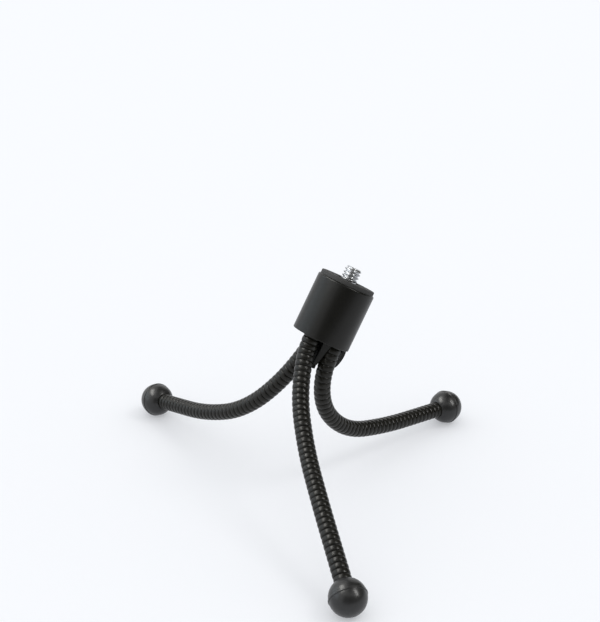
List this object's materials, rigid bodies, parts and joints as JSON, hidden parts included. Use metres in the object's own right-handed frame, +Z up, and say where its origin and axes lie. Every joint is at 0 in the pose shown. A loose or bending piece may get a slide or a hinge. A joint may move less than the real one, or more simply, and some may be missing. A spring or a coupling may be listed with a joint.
{
  "type": "flexible leg tripod",
  "caption": "Small camera tripod: a smooth turning barrel with a threaded camera stud and rubber pad, on bendable ribbed legs that end in rubber ball feet.",
  "frame": {"origin": "on the ground, at the middle of the rectangle that the part covers", "axes": "+Z up from the ground, +Y away from the front leg's side, +X to the right as seen from the front leg"},
  "size_m": [0.1316, 0.1482, 0.0839],
  "materials": {
    "barrel_plastic": "dark grey satin moulded plastic",
    "inner_plastic": "black moulded plastic",
    "washer_nylon": "natural nylon",
    "black_rubber": "matte black rubber",
    "foot_rubber": "matte black moulded rubber",
    "sleeve_plastic": "black ribbed plastic with a soft shine",
    "core_aluminium": "bare soft aluminium rod",
    "ferrule_brass": "plain turned brass",
    "zinc_steel": "zinc plated steel"
  },
  "bodies": {
    "base": {"leg_hub": "inner_plastic", "strap_lug": "inner_plastic", "pivot_screw": "zinc_steel", "front_pin": "zinc_steel", "front_ferrule": "ferrule_brass", "front_core_1": "core_aluminium", "front_sleeve_1": "sleeve_plastic", "right_pin": "zinc_steel", "right_ferrule": "ferrule_brass", "right_core_1": "core_aluminium", "right_sleeve_1": "sleeve_plastic", "left_pin": "zinc_steel", "left_ferrule": "ferrule_brass", "left_core_1": "core_aluminium", "left_sleeve_1": "sleeve_plastic"},
    "head": {"barrel": "barrel_plastic", "camera_bolt": "zinc_steel", "top_pad": "black_rubber", "pivot_plate": "inner_plastic", "friction_washer": "washer_nylon"},
    "front_upper": {"front_core_2": "core_aluminium", "front_sleeve_2": "sleeve_plastic"},
    "front_middle": {"front_core_3": "core_aluminium", "front_sleeve_3": "sleeve_plastic"},
    "front_lower": {"front_core_4": "core_aluminium", "front_sleeve_4": "sleeve_plastic"},
    "front_end": {"front_core_5": "core_aluminium", "front_sleeve_5": "sleeve_plastic", "front_tip_cap": "ferrule_brass", "front_foot": "foot_rubber"},
    "right_upper": {"right_core_2": "core_aluminium", "right_sleeve_2": "sleeve_plastic"},
    "right_middle": {"right_core_3": "core_aluminium", "right_sleeve_3": "sleeve_plastic"},
    "right_lower": {"right_core_4": "core_aluminium", "right_sleeve_4": "sleeve_plastic"},
    "right_end": {"right_core_5": "core_aluminium", "right_sleeve_5": "sleeve_plastic", "right_tip_cap": "ferrule_brass", "right_foot": "foot_rubber"},
    "left_upper": {"left_core_2": "core_aluminium", "left_sleeve_2": "sleeve_plastic"},
    "left_middle": {"left_core_3": "core_aluminium", "left_sleeve_3": "sleeve_plastic"},
    "left_lower": {"left_core_4": "core_aluminium", "left_sleeve_4": "sleeve_plastic"},
    "left_end": {"left_core_5": "core_aluminium", "left_sleeve_5": "sleeve_plastic", "left_tip_cap": "ferrule_brass", "left_foot": "foot_rubber"}
  },
  "joints": [
    {"name": "pan", "type": "hinge", "parent": "base", "child": "head", "pos_m": [0.00725, 0.01743, 0.0583], "axis": [0.4281, 0.2943, 0.8545], "continuous": true},
    {"name": "front_spread", "type": "hinge", "parent": "base", "child": "front_upper", "pos_m": [0.00159, 0.01018, 0.05449], "axis": [-0.7282, -0.4476, 0.519], "range_deg": [-12, 30]},
    {"name": "front_swing", "type": "hinge", "parent": "front_upper", "child": "front_middle", "pos_m": [0.00044, -0.00662, 0.03838], "axis": [0.6769, -0.3515, 0.6467], "range_deg": [-25, 25]},
    {"name": "front_knee", "type": "hinge", "parent": "front_middle", "child": "front_lower", "pos_m": [0.00429, -0.02655, 0.0266], "axis": [-0.7282, -0.4476, 0.519], "range_deg": [-25, 30]},
    {"name": "front_ankle", "type": "hinge", "parent": "front_lower", "child": "front_end", "pos_m": [0.00964, -0.04705, 0.01643], "axis": [-0.7282, -0.4476, 0.519], "range_deg": [-30, 30]},
    {"name": "right_spread", "type": "hinge", "parent": "base", "child": "right_upper", "pos_m": [0.00936, 0.01407, 0.0491], "axis": [0.6535, -0.7539, -0.0678], "range_deg": [-12, 30]},
    {"name": "right_swing", "type": "hinge", "parent": "right_upper", "child": "right_middle", "pos_m": [0.01076, 0.01729, 0.02679], "axis": [0.6385, 0.5009, 0.5843], "range_deg": [-25, 25]},
    {"name": "right_knee", "type": "hinge", "parent": "right_middle", "child": "right_lower", "pos_m": [0.02451, 0.03038, 0.01371], "axis": [0.6535, -0.7539, -0.0678], "range_deg": [-25, 30]},
    {"name": "right_ankle", "type": "hinge", "parent": "right_lower", "child": "right_end", "pos_m": [0.04174, 0.04572, 0.00932], "axis": [0.6535, -0.7539, -0.0678], "range_deg": [-30, 30]},
    {"name": "left_spread", "type": "hinge", "parent": "base", "child": "left_upper", "pos_m": [0.00135, 0.02125, 0.0507], "axis": [0.7245, 0.4534, -0.5192], "range_deg": [-12, 30]},
    {"name": "left_swing", "type": "hinge", "parent": "left_upper", "child": "left_middle", "pos_m": [-0.01316, 0.0236, 0.03251], "axis": [-0.1937, 0.8567, 0.478], "range_deg": [-25, 25]},
    {"name": "left_knee", "type": "hinge", "parent": "left_middle", "child": "left_lower", "pos_m": [-0.02919, 0.03394, 0.01917], "axis": [0.7245, 0.4534, -0.5192], "range_deg": [-25, 30]},
    {"name": "left_ankle", "type": "hinge", "parent": "left_lower", "child": "left_end", "pos_m": [-0.04455, 0.05004, 0.0118], "axis": [0.7245, 0.4534, -0.5192], "range_deg": [-30, 30]}
  ]
}
